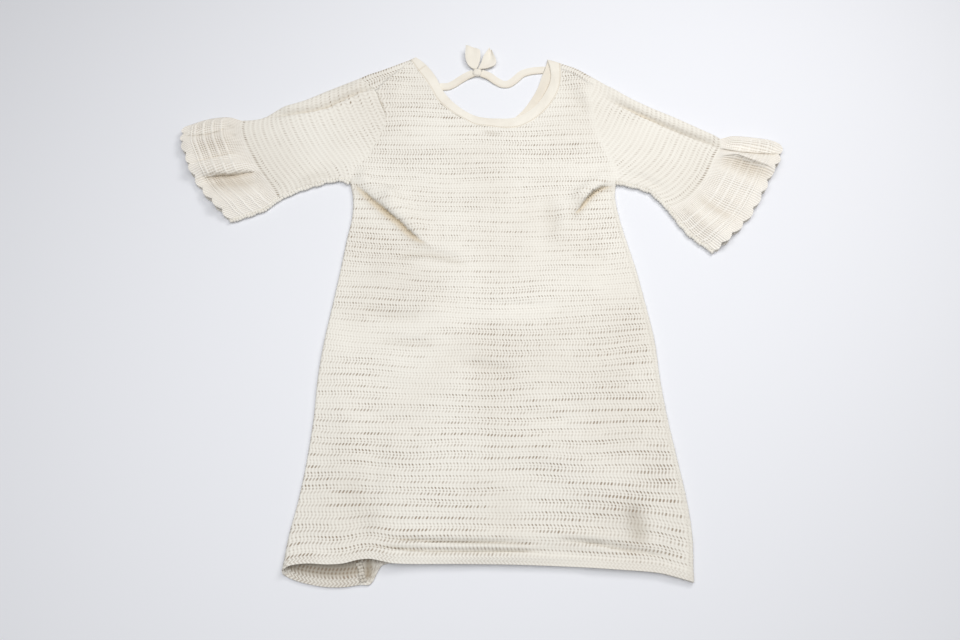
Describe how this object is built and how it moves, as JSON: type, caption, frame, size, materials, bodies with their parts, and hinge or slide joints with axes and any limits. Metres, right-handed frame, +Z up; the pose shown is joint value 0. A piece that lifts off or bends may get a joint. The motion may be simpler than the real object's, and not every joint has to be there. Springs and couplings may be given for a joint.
{
  "type": "knit dress",
  "caption": "Child's open-knit dress laid flat, with elbow sleeves, scalloped bell cuffs, a scooped neck and a small tie across the back of the neck.",
  "frame": {"origin": "On the surface the dress lies on, under the back panel in the middle of the skirt", "axes": "+X across the dress towards its right cuff as seen from above with the hem nearest, +Y from the hem to the neck, +Z up off the surface"},
  "size_m": [0.7153, 0.6516, 0.0148],
  "materials": {
    "open_knit": "open lace knit of matt cotton yarn",
    "smooth_jersey": "fine smooth jersey, matt"
  },
  "bodies": {
    "root": {"front_panel": "open_knit", "back_panel": "open_knit", "sleeve_left": "open_knit", "sleeve_right": "open_knit", "cuff_left": "open_knit", "cuff_right": "open_knit", "neck_binding_front": "smooth_jersey", "neck_binding_back": "smooth_jersey", "tie_strap_left": "smooth_jersey", "tie_strap_right": "smooth_jersey", "tie_knot": "smooth_jersey", "tie_tail_left": "smooth_jersey", "tie_tail_right": "smooth_jersey"}
  },
  "joints": []
}
